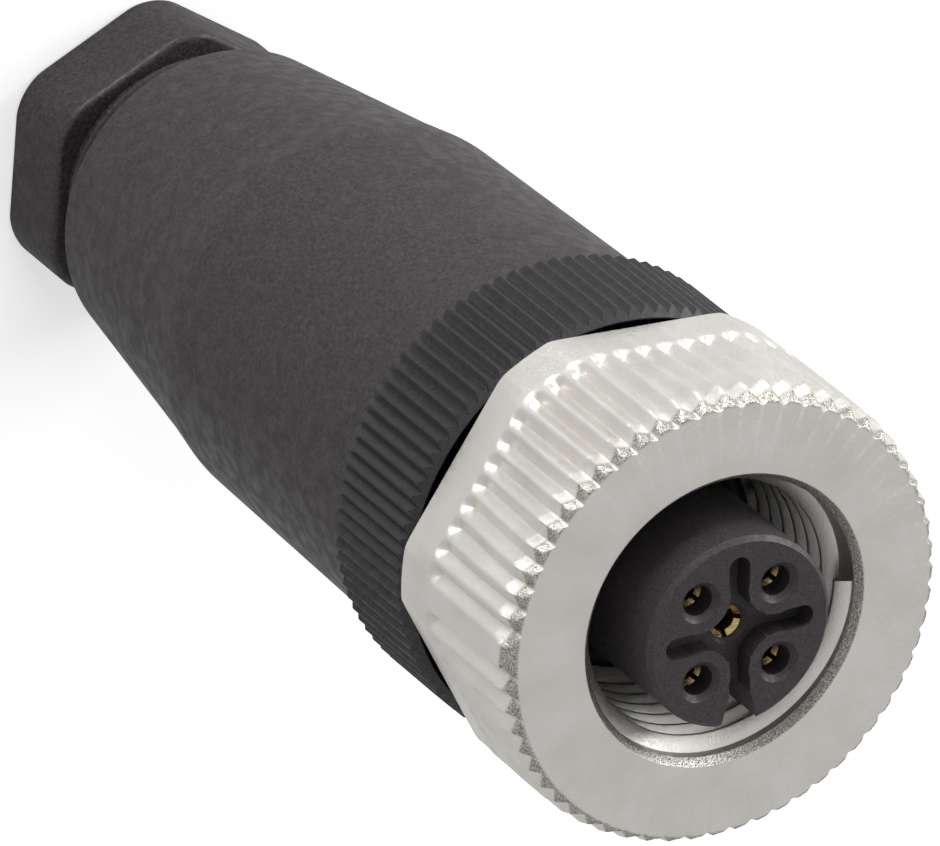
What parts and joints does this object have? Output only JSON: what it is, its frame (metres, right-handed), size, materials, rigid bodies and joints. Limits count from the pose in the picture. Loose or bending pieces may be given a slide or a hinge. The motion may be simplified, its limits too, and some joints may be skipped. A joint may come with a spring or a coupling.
{
  "type": "m12 cable connector",
  "caption": "Straight field-wireable M12 socket connector: ribbed metal coupling nut, knurled ring, tapered black sleeve, screw terminals and hex cable gland.",
  "frame": {"origin": "centre of the rear face of the pressure screw's hex head, on which the part stands", "axes": "+Z along the connector's axis towards the mating face; the coding notch points to -Y"},
  "size_m": [0.0198, 0.0198, 0.0507],
  "materials": {
    "nickel": "grainy nickel plate, satin",
    "insert_plastic": "matt",
    "body_plastic": "matt",
    "sleeve_plastic": "fine spark-eroded grain",
    "seal_rubber": "matt",
    "gold": "gold plate",
    "screw_steel": "zinc plate",
    "cage_plastic": "smooth"
  },
  "bodies": {
    "carrier": {"grip_body": "body_plastic", "contact_insert": "insert_plastic", "nose_seal": "seal_rubber", "sleeve_seal": "seal_rubber", "contact_1": "gold", "contact_2": "gold", "contact_3": "gold", "contact_4": "gold", "contact_5": "gold"},
    "nut": {"coupling_nut": "nickel"},
    "gland_seal": {"cable_seal": "seal_rubber"},
    "sleeve": {"housing_sleeve": "sleeve_plastic"},
    "cage": {"clamping_cage": "cage_plastic"},
    "gland_screw": {"pressure_screw": "sleeve_plastic"},
    "terminal_screw_1_body": {"terminal_screw_1": "screw_steel"},
    "terminal_screw_2_body": {"terminal_screw_2": "screw_steel"},
    "terminal_screw_3_body": {"terminal_screw_3": "screw_steel"},
    "terminal_screw_4_body": {"terminal_screw_4": "screw_steel"},
    "terminal_screw_5_body": {"terminal_screw_5": "screw_steel"}
  },
  "joints": [
    {"name": "nut_turn", "type": "hinge", "parent": "carrier", "child": "nut", "pos_m": [0, 0, 0], "axis": [0, 0, 1], "continuous": true},
    {"name": "sleeve_travel", "type": "slide", "parent": "carrier", "child": "gland_seal", "axis": [0, 0, -1], "range_m": [0, 0.005]},
    {"name": "sleeve_turn", "type": "hinge", "parent": "gland_seal", "child": "sleeve", "pos_m": [0, 0, 0], "axis": [0, 0, -1], "range_deg": [0, 1820]},
    {"name": "cage_travel", "type": "slide", "parent": "sleeve", "child": "cage", "axis": [0, 0, -1], "range_m": [0, 0.0035]},
    {"name": "gland_screw_turn", "type": "hinge", "parent": "cage", "child": "gland_screw", "pos_m": [0, 0, 0], "axis": [0, 0, -1], "range_deg": [0, 1280]},
    {"name": "terminal_screw_1_turn", "type": "hinge", "parent": "carrier", "child": "terminal_screw_1_body", "pos_m": [0, 0, 0.0242], "axis": [0.7071, 0.7071, 0], "range_deg": [0, 720]},
    {"name": "terminal_screw_2_turn", "type": "hinge", "parent": "carrier", "child": "terminal_screw_2_body", "pos_m": [0, 0, 0.0242], "axis": [-0.7071, 0.7071, 0], "range_deg": [0, 720]},
    {"name": "terminal_screw_3_turn", "type": "hinge", "parent": "carrier", "child": "terminal_screw_3_body", "pos_m": [0, 0, 0.0242], "axis": [-0.7071, -0.7071, 0], "range_deg": [0, 720]},
    {"name": "terminal_screw_4_turn", "type": "hinge", "parent": "carrier", "child": "terminal_screw_4_body", "pos_m": [0, 0, 0.0242], "axis": [0.7071, -0.7071, 0], "range_deg": [0, 720]},
    {"name": "terminal_screw_5_turn", "type": "hinge", "parent": "carrier", "child": "terminal_screw_5_body", "pos_m": [0, 0, 0.0242], "axis": [0, -1, 0], "range_deg": [0, 720]}
  ],
  "couplings": [
    {"joint": "sleeve_turn", "follows": "sleeve_travel", "rad_per_m": 6283.2},
    {"joint": "gland_screw_turn", "follows": "cage_travel", "rad_per_m": 6283.2}
  ]
}
